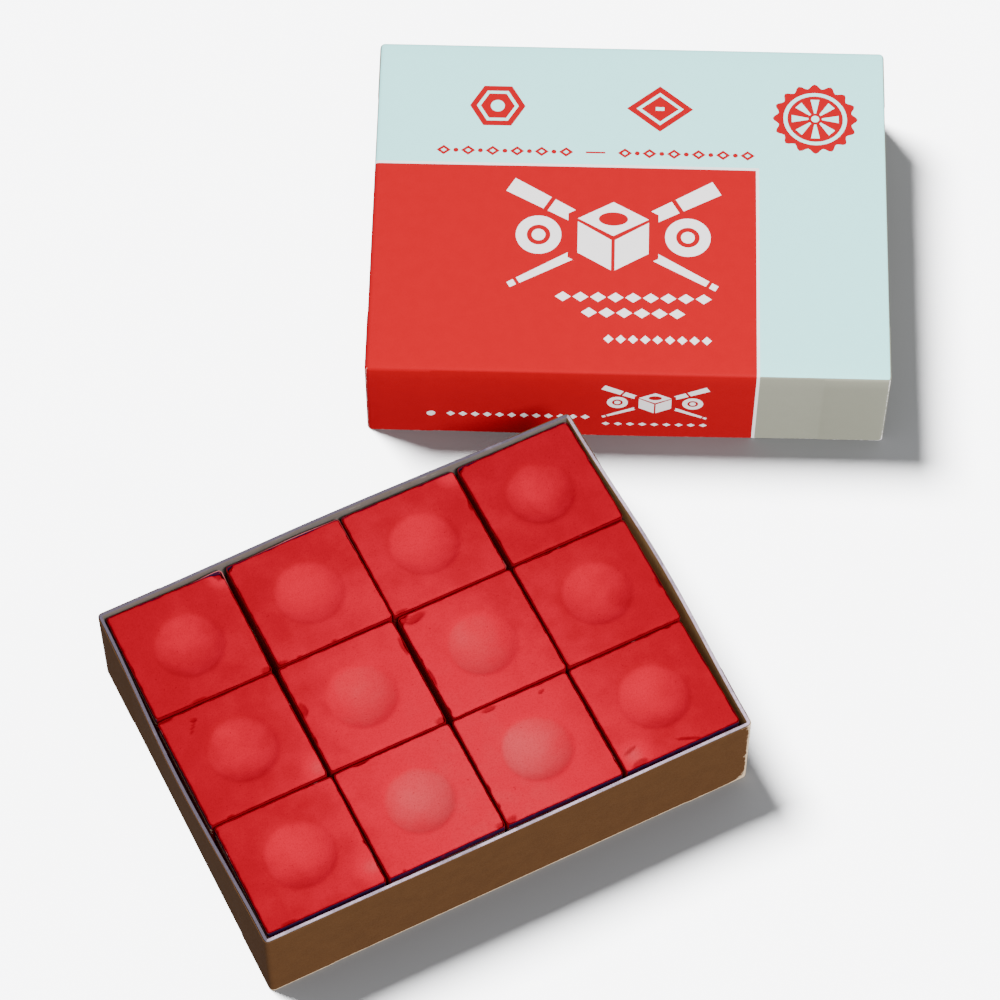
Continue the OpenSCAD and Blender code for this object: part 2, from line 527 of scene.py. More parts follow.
def square_ring(half, corner, z):
    """Points round a square with rounded corners, anticlockwise from the right-hand side's near end."""
    ring = []
    straight = half - corner
    for quarter in range(4):
        turn = Matrix.Rotation(quarter * math.pi / 2, 3, "Z")
        for i in range(SIDE_POINTS):
            ring.append(turn @ Vector((half, straight * (2 * i / SIDE_POINTS - 1), z)))
        for i in range(CORNER_POINTS):
            angle = math.pi / 2 * i / CORNER_POINTS
            bend = Vector((math.cos(angle), math.sin(angle), 0)) * corner
            ring.append(turn @ (Vector((straight, straight, z)) + bend))
    return ring


# ---------- Chalk blocks ----------

CHALK_EDGE = 0.32       # rounding of the block's edges
CHALK_CORNER = 0.55     # rounding of its upright corners
BLOCK_INSET = 0.02      # the block's sides stand this far inside its label
WEATHERED_DEPTH = 6.0   # no pit or chip reaches further down the block than this
HOLLOW_R = 6.4
HOLLOW_DEPTH = 2.4
HOLLOW_SPHERE_R = (HOLLOW_R ** 2 + HOLLOW_DEPTH ** 2) / (2 * HOLLOW_DEPTH)
HOLLOW_SOFT = 0.32      # how softly the hollow runs out into the flat top
HOLLOW_MOUTH = 1.3      # the hollow's rings reach this many times its radius
HOLLOW_RINGS = 26
FLAT_RINGS = 14
EDGE_RINGS = 6
WALL_RINGS = 8

# A painted pool of light: the cubes' tops are palest near this place in the tray, out to about this reach
# along X and Y.
LIGHT_POOL_PLACE = Vector((0.0, -30.0))
LIGHT_POOL_REACH = Vector((26.0, 48.0))

# The hollow is palest round this place in it, fading out over about this reach: rubbed smooth, with a
# painted highlight on its side towards the key lamp.
RUB_AND_LIGHT_PLACE = Vector((-0.6, 1.9))
RUB_AND_LIGHT_REACH = 7.0

# Where dust lies palest near a cube's corner, by row and column.
PALE_CORNERS = {
    (1, 1): (10.2, 9.6),
    (1, 3): (10.2, 10.2),
    (2, 1): (10.0, -9.2),
    (3, 1): (10.0, -7.6),
    (3, 4): (-8.4, -8.6),
}
PALE_REACH = 2.2

# Chips, dents and scratches that stand out. For a cube, by row and column: the place on its top, the
# direction in degrees, half the length and half the width, and the depth.
CHIPS = {
    (1, 1): [(10.4, -10.6, 0, 1.4, 0.7, 0.35), (10.6, 10.5, 0, 1.5, 1.3, 0.5),
             (-3.0, -10.9, 0, 1.8, 0.5, 0.2)],
    (1, 2): [(-10.7, 10.7, 45, 1.3, 0.9, 0.5), (-10.6, -10.7, 0, 1.5, 0.6, 0.35)],
    (1, 3): [(10.7, 3.0, 90, 1.0, 0.5, 0.25), (-9.6, -10.7, 0, 1.2, 0.5, 0.3)],
    (1, 4): [(-10.8, 10.7, 45, 1.2, 0.8, 0.4)],
    (2, 1): [(-5.2, 8.7, 0, 0.7, 0.5, 0.3), (-5.9, 7.4, 53, 1.7, 0.28, 0.12),
             (-9.8, 10.8, 0, 2.0, 0.5, 0.25)],
    (2, 2): [(-10.4, 1.8, 90, 1.5, 0.9, 0.35), (10.6, 5.6, 90, 2.2, 0.6, 0.35),
             (10.4, -10.5, 0, 1.4, 0.8, 0.35)],
    (2, 3): [(-8.2, 9.6, 12, 2.3, 0.9, 0.42), (-10.3, 10.3, 40, 1.5, 0.9, 0.4),
             (-10.8, -2.0, 90, 2.4, 0.5, 0.3)],
    (2, 4): [(10.7, -3.0, 90, 1.4, 0.5, 0.25)],
    (3, 1): [(-7.0, -10.8, 0, 1.6, 0.5, 0.2)],
    (3, 2): [(10.5, -10.6, 0, 1.3, 0.7, 0.3), (-6.0, 10.8, 0, 1.8, 0.5, 0.2)],
    (3, 3): [(-4.3, 10.3, 0, 1.7, 0.6, 0.3), (-10.3, -10.6, 30, 1.4, 0.9, 0.4),
             (5.4, 9.4, 20, 0.8, 0.4, 0.2)],
    (3, 4): [(1.6, -10.1, -24, 2.9, 0.34, 0.3), (-8.2, -10.6, 10, 1.9, 0.9, 0.32),
             (-8.6, -7.6, 15, 1.6, 0.4, 0.1)],
}
NOISE_SHIFT = 0.0371    # each piece's noise is shifted by its seed times this, in metres
SMALL_CHIPS = 2         # further small chips round each cube's top edge


def hollow_depth(radius):
    """Depth of the chalk's top below its flat rim: a sphere's bowl that runs out softly."""
    if radius >= HOLLOW_SPHERE_R:
        return 0.0
    bowl = math.sqrt(HOLLOW_SPHERE_R ** 2 - radius ** 2) - (HOLLOW_SPHERE_R - HOLLOW_DEPTH)
    return (bowl + math.sqrt(bowl * bowl + HOLLOW_SOFT ** 2)) / 2


def chalk_rings(half, high):
    """The block's rings from the middle of the hollow out over the edge, down and under."""
    mouth = HOLLOW_R * HOLLOW_MOUTH
    outline = square_ring(half - CHALK_EDGE, CHALK_CORNER, 0)
    rings = []
    for k in range(1, HOLLOW_RINGS + 1):
        radius = mouth * k / HOLLOW_RINGS
        level = high - hollow_depth(radius)
        rings.append([p.normalized() * radius + Vector((0, 0, level)) for p in outline])
    for k in range(1, FLAT_RINGS + 1):
        flat = [blend(p.normalized() * mouth, p, k / FLAT_RINGS) for p in outline]
        rings.append([p + Vector((0, 0, high - hollow_depth(p.length))) for p in flat])
    for k in range(1, EDGE_RINGS + 1):
        angle = math.pi / 2 * k / EDGE_RINGS
        out = half - CHALK_EDGE * (1 - math.sin(angle))
        rings.append(square_ring(out, CHALK_CORNER, high - CHALK_EDGE * (1 - math.cos(angle))))
    for k in range(1, WALL_RINGS + 1):
        level = blend(high - CHALK_EDGE, CHALK_EDGE, k / WALL_RINGS)
        rings.append(square_ring(half, CHALK_CORNER, level))
    rings.append(square_ring(half - CHALK_EDGE, CHALK_CORNER, 0.0))
    rings.append(square_ring(half / 2, CHALK_CORNER, 0.0))
    return rings


def chips_of(cell, draw, half):
    """The chips that stand out on a cube, and small ones drawn at random along its top edge."""
    chips = list(CHIPS[cell])
    for _ in range(SMALL_CHIPS):
        place = Vector((half, draw.uniform(-half, half), 0))
        side = draw.randrange(4)
        place.rotate(Matrix.Rotation(side * math.pi / 2, 3, "Z"))
        length = draw.uniform(0.4, 1.1)
        width = draw.uniform(0.25, 0.45)
        chips.append((place.x, place.y, 90 + 90 * side, length, width, width * draw.uniform(0.3, 0.6)))
    return chips


def bite_of(point, chip, high, seed):
    """How far a point is bitten out by a chip, from 0 at its ragged outline to 1 in its middle."""
    x, y, degrees, length, width, _ = chip
    away = Vector((point.x - x, point.y - y))
    if away.length > length + 0.6:
        return 0.0
    away.rotate(Matrix.Rotation(-math.radians(degrees), 2))
    ragged = 1 + 0.35 * fbm(point, 0.9, seed) + 0.2 * fbm(point, 0.4, seed)
    down = (high - point.z) / max(0.5, width)
    reach = (away.x / length) ** 2 + (away.y / width) ** 2 + down * down
    return max(0.0, 1 - reach * ragged)


def weather(point, chips, half, high, seed):
    """One point of the block moved for pits, nibbled edges and chips, and how chipped it is."""
    moved = point.copy()
    depth = high - point.z
    if depth > WEATHERED_DEPTH:
        return moved, 0.0
    upper = max(0.0, 1 - depth / 4.0)
    pits = 0.05 * fbm(point, 5.0, seed) + 0.022 * fbm(point, 1.1, seed) + 0.014 * fbm(point, 0.45, seed)
    moved.z += min(0.0, pits - 0.02) * upper
    inset = half - max(abs(point.x), abs(point.y))
    edge = math.exp(-max(0.0, inset) / 0.3) * math.exp(-depth / 0.5)
    nibble = edge * max(0.0, 0.06 + 0.12 * fbm(point, 1.7, seed + 7) + 0.07 * fbm(point, 0.6, seed + 9))
    moved -= Vector((point.x / half, point.y / half, 1.0)) * nibble
    chipped = min(0.4, max(0.0, nibble - 0.1) * 2.0)
    for chip in chips:
        bite = bite_of(point, chip, high, seed + 3)
        if bite > 0:
            moved -= Vector((0.4 * point.x / half, 0.4 * point.y / half, 1.0)) * chip[-1] * bite
            chipped = max(chipped, min(0.6, 1.1 * bite))
    return moved, chipped


def dust_and_light_of(point, spot, corner, seed):
    """How pale a point is: by its place in the tray, a painted pool of light; more in the hollow, rubbed
    and with a painted highlight; and more near a pale corner.
    """
    away_x = (spot.x - LIGHT_POOL_PLACE.x) / LIGHT_POOL_REACH.x
    away_y = (spot.y - LIGHT_POOL_PLACE.y) / LIGHT_POOL_REACH.y
    # A painted pool of light over the tray's front middle, on a little even dust.
    dust_and_light = 0.08 + 1.25 * math.exp(-away_x * away_x - away_y * away_y)
    bowl = max(0.0, min(1.0, (HOLLOW_R - math.hypot(point.x, point.y)) / 0.8))
    away = math.hypot(point.x - RUB_AND_LIGHT_PLACE.x, point.y - RUB_AND_LIGHT_PLACE.y) / RUB_AND_LIGHT_REACH
    # The hollow: rubbed paler, with a painted highlight, stronger under the pool of light.
    rubbed_and_lit = bowl * (0.42 + 0.45 * dust_and_light) * math.exp(-away * away)
    if corner:
        rubbed_and_lit += math.exp(-((point.xy - Vector(corner)).length / PALE_REACH) ** 2)
    return dust_and_light + rubbed_and_lit + 0.12 * fbm(point, 7.0, seed) + 0.06 * fbm(point, 2.5, seed)


def add_chalk(row, column, materials):
    """One pressed block, with its hollow, softened edges, pits and chips."""
    cell = f"r{row}c{column}"
    node = f"chalk_block_{cell}"
    size = size_of(node)
    place = place_of(node)
    seed = SEED + 4 * row + column
    draw = random.Random(seed)
    half = size.x / 2 - BLOCK_INSET
    chips = chips_of((row, column), draw, half)
    points, faces = ring_skin(chalk_rings(half, size.z))
    moved = []
    painted = {"dust_and_light": [], "chip": [], "shift": [seed * NOISE_SHIFT] * len(points)}
    for p in points:
        point, chipped = weather(p, chips, half, size.z, seed)
        spot = (place @ (p * MM) / MM).xy
        moved.append(point)
        painted["chip"].append(chipped)
        painted["dust_and_light"].append(dust_and_light_of(p, spot, PALE_CORNERS.get((row, column)), seed))
    make_piece(f"chalk_{cell}", node, f"cube_{cell}", moved, faces,
               ["chalk"] * len(faces), materials, painted)


# ---------- Labels ----------

LABEL_CORNER = 0.6      # rounding of the label's folds
LABEL_FOLD = 0.3        # rounding where the sides turn under
LABEL_FOLD_STEPS = 3
LABEL_RINGS = 12
SEAM_START = 1.0        # the glued overlap, on the back, begins this far from the label's left side
SEAM_W = 3.0            # its width
SEAM_LIFT = 0.05        # and how far it stands out
DUST_AND_SHADE_TOP = 6.0         # how far down from its top edge a label carries chalk dust and painted shade

# Where a label's top edge stands up: for a cube, the place, its reach and its height.
LABEL_LIFTS = {
    (1, 1): (9.6, 10.9, 2.4, 0.42),
    (1, 2): (3.0, 10.9, 6.0, 0.30),
}


def label_rings(half, height, paper):
    """The label's rings: out over the underside, up the sides, over the cut edge and down inside."""
    rings = [square_ring(half * share, LABEL_CORNER * share, 0.0) for share in (0.3, 0.6, 0.9)]
    for k in range(LABEL_FOLD_STEPS + 1):
        angle = math.pi / 2 * k / LABEL_FOLD_STEPS
        out = half - LABEL_FOLD * (1 - math.sin(angle))
        rings.append(square_ring(out, LABEL_CORNER, LABEL_FOLD * (1 - math.cos(angle))))
    for k in range(1, LABEL_RINGS + 1):
        rings.append(square_ring(half, LABEL_CORNER, blend(LABEL_FOLD, height, k / LABEL_RINGS)))
    edge = len(rings)
    inside = half - paper
    rings.append(square_ring(inside, LABEL_CORNER - paper, height))
    rings.append(square_ring(inside, LABEL_CORNER - paper, height / 2))
    rings.append(square_ring(inside, LABEL_CORNER - paper, paper))
    rings += [square_ring(inside * share, (LABEL_CORNER - paper) * share, paper) for share in (0.6, 0.3)]
    return rings, edge


def faces_wall(point, row, column):
    """Whether a point is on a side of the cube that faces the tray's wall, not another cube."""
    if abs(point.x) > abs(point.y):
        return column == (COLUMNS if point.x > 0 else 1)
    return row == (1 if point.y > 0 else ROWS)


def add_label(row, column, materials):
    """One paper label round the block's sides and underside, with a glued overlap on one side."""
    cell = f"r{row}c{column}"
    node = f"paper_label_{cell}"
    size = size_of(node)
    seed = SEED + 40 + 4 * row + column
    half = size.x / 2
    paper = (size.x - size_of(f"chalk_block_{cell}").x) / 2
    rings, edge = label_rings(half, size.z, paper)
    points, faces = ring_skin(rings)
    lift_x, lift_y, reach, rise = LABEL_LIFTS.get((row, column), (0.0, 0.0, 1.0, 0.0))
    moved = []
    painted = {"worn": [], "dust_and_shade": [], "bare": [], "shift": [seed * NOISE_SHIFT] * len(points)}
    for p in points:
        upper = max(0.0, (p.z / size.z - 0.5) * 2)
        away = math.hypot(p.x - lift_x, p.y - lift_y) / reach
        lifted = math.exp(-away * away)
        place = p.copy()
        place.z += (0.09 * fbm(Vector((p.x, p.y, 0)), 3.5, seed) + rise * lifted) * upper ** 3
        out = Vector((p.x, p.y, 0)).normalized()
        seam = SEAM_START - half
        overlap = p.y > half - 0.2 and seam < p.x < seam + SEAM_W and p.z > LABEL_FOLD
        place += out * (0.018 * fbm(p, 4.0, seed) + SEAM_LIFT * overlap)
        fold = math.exp(-max(0.0, half - min(abs(p.x), abs(p.y))) / 0.4)
        # Chalk dust and painted shade on sides in the gaps between cubes; none by the walls, where the
        # dark border stands for painted shade.
        dust_and_shade = 0.0 if faces_wall(p, row, column) else max(0.0, 1 - (size.z - p.z) / DUST_AND_SHADE_TOP)
        moved.append(place)
        painted["worn"].append(0.42 * fold + 0.4 * upper ** 6)
        painted["dust_and_shade"].append(dust_and_shade)
        painted["bare"].append(min(1.0, lifted * rise * 3.0))
    count = len(rings[0])
    inks = ["core" if (edge - 1) * count <= f < edge * count else "label" for f in range(len(faces))]
    make_piece(f"label_{cell}", node, f"cube_{cell}", moved, faces, inks, materials,
               painted)


# ---------- Folded boxes: the tray and the lid ----------

GRID = 3.0              # spacing of the points on a box's flat panels
PAPER_T = 0.12          # thickness of the cover papers
LIP = 0.45              # height of the finely divided strip along a cut edge
STAY_T = 0.1            # thickness of the corner stays' tape
STAY_SINK = 0.085       # how far the cover paper drops off a stay on to the board
STAY_LEG = 12.0         # length of each leg of a stay
STAY_MARGIN = 1.0       # the stays stop this far from the board's edges
STAY_SLOPE = 0.3        # half the width of the paper's slope where it drops off a stay's end
STAY_LEG_STEPS = 5
STAY_BEND_STEPS = 6
STAY_ROWS = 6
TAPE_WORN = 0.2
BOARD_FOLD = 0.7        # outer radius of the board's folds
PAPER_FOLD = BOARD_FOLD + STAY_T + PAPER_T

# How far wear reaches from a fold, from a corner along its folds, from a cut edge, and from the
# tray's front right fold, which is rubbed most; and the most that a point can be worn.
FOLD_REACH = 0.35
CORNER_REACH = 3.0
LIP_REACH = 0.3
RUBBED_REACH = 0.9
MOST_WORN = 1.3

# How worn the cut edges of each body's board and paper are.
LIP_WORN = {"tray": 0.3, "lid": 0.7}


def spaced(low, high, step, fine_low=0.0, fine_high=0.0, extra=()):
    """Positions from low to high: even, with the extra ones, and close together beside a fold."""
    inner_low, inner_high = low + fine_low, high - fine_high
    count = max(2, round((inner_high - inner_low) / step))
    even = [blend(inner_low, inner_high, i / count) for i in range(count + 1)]
    crowd = step * 0.3
    kept = [e for e in even if e in (inner_low, inner_high) or all(abs(e - x) > crowd for x in extra)]
    shares = (0.0, 0.3, 0.62)
    if fine_low:
        kept += [low + fine_low * s for s in shares]
    if fine_high:
        kept += [high - fine_high * s for s in shares]
    return sorted(kept + list(extra))


def inside_outline(u, v, outline):
    """Whether a point lies inside a closed outline."""
    inside = False
    for (u0, v0), (u1, v1) in zip(outline, outline[1:] + outline[:1]):
        if (v0 > v) != (v1 > v) and u < u0 + (v - v0) * (u1 - u0) / (v1 - v0):
            inside = not inside
    return inside


def panel(us, vs, art):
    """A flat grid of quads, or of triangles cut along the outlines of the art printed on it."""
    grid = [Vector((u, v)) for v in vs for u in us]
    columns = len(us)
    if not art:
        cells = [(r * columns + c, r * columns + c + 1, (r + 1) * columns + c + 1, (r + 1) * columns + c)
                 for r in range(len(vs) - 1) for c in range(columns - 1)]
        return grid, cells
    edges = [(r * columns + c, r * columns + c + 1) for r in range(len(vs)) for c in range(columns - 1)]
    edges += [(i, i + columns) for i in range(len(grid) - columns)]
    for _, outline in art:
        start = len(grid)
        grid += [Vector(p) for p in outline]
        edges += [(start + i, start + (i + 1) % len(outline)) for i in range(len(outline))]
    points, _, cells, *_ = delaunay_2d_cdt(grid, edges, [], 0, 1e-4)
    return points, [tuple(c) for c in cells]


def ink_at(u, v, ground, art):
    """The ink at a place: that of the last outline drawn over it, or the ground's."""
    found = ground
    for ink, outline in art:
        if inside_outline(u, v, outline):
            found = ink
    return found


class FoldedBox:
    """A box of board or paper with folded edges, built mouth up with its floor at z = 0."""

    def __init__(self, size, wall, floor, fold, bow, extra_x=(), extra_y=()):
        self.half = (size.x / 2, size.y / 2)
        self.height = size.z
        self.wall = wall
        self.floor = floor      # the floor's thickness, or None for a band with no floor
        self.fold = fold
        self.bow = bow
        self.xs = spaced(-size.x / 2, size.x / 2, GRID, fold, fold, extra_x)
        self.ys = spaced(-size.y / 2, size.y / 2, GRID, fold, fold, extra_y)
        self.zs = spaced(0.0, size.z, GRID * 0.8, fold if floor else LIP, LIP)
        self.points, self.faces, self.inks = [], [], []
        self.index = {}

    def vertex(self, sharp, inner):
        """Welds, rounds and bows one point of the sharp-edged box."""
        key = (inner, *(round(c, 3) for c in sharp))
        if key not in self.index:
            self.index[key] = len(self.points)
            self.points.append(self.shaped(sharp, inner))
        return self.index[key]

    def extent(self, inner):
        """Half the length and half the width of the outer or inner skin, and its floor's level."""
        half_l, half_w = (h - self.wall if inner else h for h in self.half)
        return half_l, half_w, self.floor if inner and self.floor else 0.0

    def grid(self, inner):
        """The places of the outer or inner skin's points along each axis."""
        half_l, half_w, base = self.extent(inner)
        xs = [x * half_l / self.half[0] for x in self.xs]
        ys = [y * half_w / self.half[1] for y in self.ys]
        zs = [base + z * (self.height - base) / self.height for z in self.zs]
        return xs, ys, zs

    def shaped(self, sharp, inner):
        """A point of the sharp-edged box moved on to the rounded folds and bowed walls."""
        fold = max(0.1, self.fold - self.wall) if inner else self.fold
        half_l, half_w, base = self.extent(inner)
        core = Vector((
            max(-half_l + fold, min(half_l - fold, sharp.x)),
            max(-half_w + fold, min(half_w - fold, sharp.y)),
            max(base + fold, sharp.z) if self.floor else sharp.z,
        ))
        out = (sharp - core).normalized()
        return core + out * fold + self.bow(sharp, out)

    def add_panel(self, us, vs, to_box, ink, art, inner):
        flat, cells = panel(us, vs, art)
        ids = [self.vertex(to_box(p.x, p.y), inner) for p in flat]
        for cell in cells:
            u = sum(flat[i].x for i in cell) / len(cell)
            v = sum(flat[i].y for i in cell) / len(cell)
            self.add_face([ids[i] for i in cell], ink_at(u, v, ink(u, v), art))

    def add_face(self, ids, ink):
        if len(set(ids)) == len(ids):
            self.faces.append(ids)
            self.inks.append(ink)

    def add_skin(self, inner, inks, art=None):
        """The outer or inner skin: the floor, if there is one, and four walls."""
        art = art or {}
        half_l, half_w, base = self.extent(inner)
        xs, ys, zs = self.grid(inner)
        panels = {
            "front": (xs, zs, lambda u, v: Vector((u, -half_w, v))),
            "back": (xs, zs, lambda u, v: Vector((u, half_w, v))),
            "left": (ys, zs, lambda u, v: Vector((-half_l, u, v))),
            "right": (ys, zs, lambda u, v: Vector((half_l, u, v))),
        }
        if self.floor:
            panels["floor"] = (xs, ys, lambda u, v: Vector((u, v, base)))
        for side, (us, vs, to_box) in panels.items():
            self.add_panel(us, vs, to_box, inks(side), art.get(side, ()), inner)

    def add_rim(self, level, ink, far_ink):
        """Closes the skins together along the cut edge at a height; the back and left have far_ink."""
        loops = []
        for inner in (False, True):
            half_l, half_w, _ = self.extent(inner)
            xs, ys, _ = self.grid(inner)
            loop = [(x, -half_w) for x in xs[:-1]] + [(half_l, y) for y in ys[:-1]]
            loop += [(x, half_w) for x in xs[:0:-1]] + [(-half_l, y) for y in ys[:0:-1]]
            loops.append([self.vertex(Vector((x, y, level)), inner) for x, y in loop])
        outer, inner = loops
        for i in range(len(outer)):
            j = (i + 1) % len(outer)
            far = i >= len(self.xs) + len(self.ys) - 2
            self.add_face([outer[i], outer[j], inner[j], inner[i]], far_ink if far else ink)

    def wear(self, lip_worn):
        """How rubbed each point is along the folds, at the corners and along the cut edges."""
        def near(gap, reach):
            return math.exp(-max(0.0, gap) / reach)

        values = []
        for p in self.points:
            side_gaps = (self.half[0] - abs(p.x), self.half[1] - abs(p.y))
            gaps = sorted(side_gaps + (p.z if self.floor else self.height,))
            fold = near(gaps[1], FOLD_REACH)
            worn = 0.5 * fold + 0.45 * fold * near(gaps[2], CORNER_REACH)
            worn += lip_worn * near(self.height - p.z, LIP_REACH)
            if self.floor:
                worn += 1.1 * near(max(side_gaps), FOLD_REACH)
            else:
                worn += 1.5 * near(p.z, LIP_REACH)
                if p.x > 0 > p.y:
                    worn += 1.5 * near(max(side_gaps), RUBBED_REACH)
            values.append(min(MOST_WORN, worn))
        return values

    def over_stays(self):
        """1 for the points of the walls that lie over a corner stay, and 0 for the rest."""
        values = []
        for p in self.points:
            along = max(self.half[0] - abs(p.x), self.half[1] - abs(p.y))
            values.append(float(along < STAY_LEG and p.z > STAY_MARGIN))
        return values


def mouth_down(points, height):
    """A box's points turned upside down, so that its mouth stands at z = 0."""
    return [Vector((p.x, p.y, height - p.z)) for p in points]


def finish_box(box, name, node, body, materials):
    """Turns a folded box into a piece, mouth down if it is the lid's."""
    painted = {"worn": box.wear(LIP_WORN[body]), "stay": box.over_stays()}
    points = mouth_down(box.points, box.height) if body == "lid" else box.points
    piece = make_piece(name, node, body, points, box.faces, box.inks, materials, painted)
    face_outwards(piece.data)


def face_outwards(mesh):
    shape = bmesh.new()
    shape.from_mesh(mesh)
    bmesh.ops.recalc_face_normals(shape, faces=shape.faces)
    shape.to_mesh(mesh)
    shape.free()


def hump(position, half):
    """1 in the middle of a side, falling smoothly to 0 at both of its ends."""
    share = min(1.0, abs(position) / half)
    return 0.5 + 0.5 * math.cos(math.pi * share)


def spread(p, half_l, half_w, lean_x, lean_y, lift):
    """A point's shift: outwards, most at the walls' middles and none at the corners, and upwards."""
    along_x = lean_x * hump(p.y, half_w) * p.x / half_l
    along_y = lean_y * hump(p.x, half_l) * p.y / half_w
    return Vector((along_x, along_y, lift))


# How far the middle of each of the tray's walls leans out at the rim.
TRAY_LEAN = {"right": 1.0, "left": 0.9, "front": 0.15, "back": 0.5}


def tray_bow(half_l, half_w, height):
    """The tray's walls lean out towards the rim: the short ones most."""
    def bow(p, out):
        up = (max(0.0, p.z) / height) ** 1.3
        lean_x = TRAY_LEAN["right" if p.x > 0 else "left"]
        lean_y = TRAY_LEAN["front" if p.y < 0 else "back"]
        ripple = 0.05 * fbm(Vector((p.x, p.y, 0)), 9.0, SEED) * up
        return spread(p, half_l, half_w, lean_x * up, lean_y * up, ripple)
    return bow


def sunk_between_stays(bow, half):
    """The bow of a cover paper, which also sinks back on the board past the ends of the corner stays."""
    def sunk(p, out):
        along = half[0] - abs(p.x) if abs(out.y) > abs(out.x) else half[1] - abs(p.y)
        share = max(0.0, min(1.0, (along - STAY_LEG + STAY_SLOPE) / (2 * STAY_SLOPE)))
        flat = Vector((out.x, out.y, 0)) * (1 if abs(out.z) < 0.5 else 0)
        return bow(p, out) - flat * STAY_SINK * share
    return sunk


def stay_lines(half):
    """Grid lines on both sides of each stay's end, so that its edge shows through the paper."""
    return [sign * (half - STAY_LEG + step) for sign in (-1, 1) for step in (-STAY_SLOPE, STAY_SLOPE)]


def stay_route(half_l, half_w):
    """Places and outward ways along a stay at one corner: a leg, the bend, and the other leg."""
    shares = [i / STAY_LEG_STEPS for i in range(STAY_LEG_STEPS + 1)]
    route = [(Vector((half_l - STAY_LEG * (1 - s), half_w)), Vector((0, 1))) for s in shares[:-1]]
    core = Vector((half_l - BOARD_FOLD, half_w - BOARD_FOLD))
    for i in range(STAY_BEND_STEPS + 1):
        angle = math.pi / 2 * (1 - i / STAY_BEND_STEPS)
        out = Vector((math.cos(angle), math.sin(angle)))
        route.append((core + out * BOARD_FOLD, out))
    return route + [(Vector((half_l, half_w - STAY_LEG * s)), Vector((1, 0))) for s in shares[1:]]


def strip_faces(start, across, rows):
    """Faces of a strip: two grids of points, one on the other, and the edge that closes them."""
    layer = across * rows
    faces = []
    for k in range(rows - 1):
        for i in range(across - 1):
            near = start + k * across + i
            quad = (near, near + 1, near + across + 1, near + across)
            faces += [quad, tuple(q + layer for q in quad)]
    border = list(range(across)) + [k * across + across - 1 for k in range(1, rows)]
    border += [(rows - 1) * across + i for i in range(across - 2, -1, -1)]
    border += [k * across for k in range(rows - 2, 0, -1)]
    for a, b in zip(border, border[1:] + border[:1]):
        faces.append((start + a, start + b, start + b + layer, start + a + layer))
    return faces


def add_stays(body, board, bow, materials):
    """Four strips of gummed tape bent round a box's corners, under its cover paper."""
    route = stay_route(board.x / 2, board.y / 2)
    top = board.z - STAY_MARGIN
    levels = [blend(STAY_MARGIN, top, k / STAY_ROWS) for k in range(STAY_ROWS + 1)]
    points, faces = [], []
    for sign_x, sign_y in ((-1, -1), (1, -1), (1, 1), (-1, 1)):
        faces += strip_faces(len(points), len(route), len(levels))
        for layer in (0.0, STAY_T):
            for z in levels:
                for place, out in route:
                    spot = place + out * layer
                    p = Vector((spot.x * sign_x, spot.y * sign_y, z))
                    torn = 0.25 * fbm(p, 1.2, SEED) if z in (levels[0], levels[-1]) else 0.0
                    points.append(p + bow(p, out) + Vector((0, 0, torn)))
    if body == "lid":
        points = mouth_down(points, board.z)
    painted = {"worn": [TAPE_WORN] * len(points)}
    piece = make_piece(f"{body}_tape_stays", f"{body}_corner_stays", body, points, faces,
                       ["tape"] * len(faces), materials, painted, STAY_MARGIN)
    face_outwards(piece.data)


def plain(ink):
    """One ink all over every side."""
    return lambda side: lambda u, v: ink


def add_board(body, bow_of, ink, right_ink, rim_ink, far_rim_ink, materials):
    """A folded board and its corner stays. Gives the bow of its walls."""
    board = size_of(f"{body}_board")
    thick = board_of(f"{body}_board")
    bow = bow_of(board.x / 2, board.y / 2, board.z)
    box = FoldedBox(board, thick, thick, BOARD_FOLD, bow)
    box.add_skin(False, plain(ink))
    box.add_skin(True, lambda side: lambda u, v: right_ink if side == "right" else ink)
    box.add_rim(box.height, rim_ink, far_rim_ink)
    finish_box(box, f"{body}_folded_board", f"{body}_board", body, materials)
    add_stays(body, board, bow, materials)
    return bow


def cover(body, floor, bow, edges_x=(), edges_y=()):
    """A box's cover paper, with grid lines along its stays' ends and its own colour edges."""
    wrap = size_of(f"{body}_wrap")
    half = (wrap.x / 2, wrap.y / 2)
    extra_x = list(edges_x) + stay_lines(half[0])
    extra_y = list(edges_y) + stay_lines(half[1])
    return FoldedBox(wrap, PAPER_T, floor, PAPER_FOLD, sunk_between_stays(bow, half), extra_x, extra_y)


def add_tray(materials):
    # The tray's right inner wall is a lighter brown, painted light; its back and left rims are darker.
    bow = add_board("tray", tray_bow, "board", "brown_board", "board_edge", "soiled_edge", materials)
    band = cover("tray", None, bow)
    band.add_skin(False, plain("brown"))
    band.add_skin(True, plain("brown"))
    band.add_rim(band.height, "brown", "brown")
    band.add_rim(0.0, "brown", "brown")
    finish_box(band, "tray_cover_paper", "tray_wrap", "tray", materials)


# Where the lid's print changes colour, from the lid's middle: left to right, and front to back.
RED_RIGHT = 23.5
RED_BACK = 8.9
GAP_LINE = 0.28         # half the width of the bare line between two inks


def lid_ink(side):
    """The lid's large fields of ink: red at the front left, mint on the rest of the top."""
    def top(u, v):
        if abs(u - RED_RIGHT) < GAP_LINE and v < RED_BACK + GAP_LINE:
            return "white"
        if abs(v - RED_BACK) < GAP_LINE and u < RED_RIGHT + GAP_LINE:
            return "white"
        return "red" if u < RED_RIGHT and v < RED_BACK else "mint"

    def red_up_to(limit):
        def ink(u, v):
            if abs(u - limit) < GAP_LINE:
                return "white"
            return "red" if u < limit else "side"
        return ink

    # Walls beyond the red take the side paper: painted shade, a darker, warmer grey in place of mint.
    inks = {"floor": top, "front": red_up_to(RED_RIGHT), "left": red_up_to(RED_BACK)}
    return inks.get(side, lambda u, v: "side")


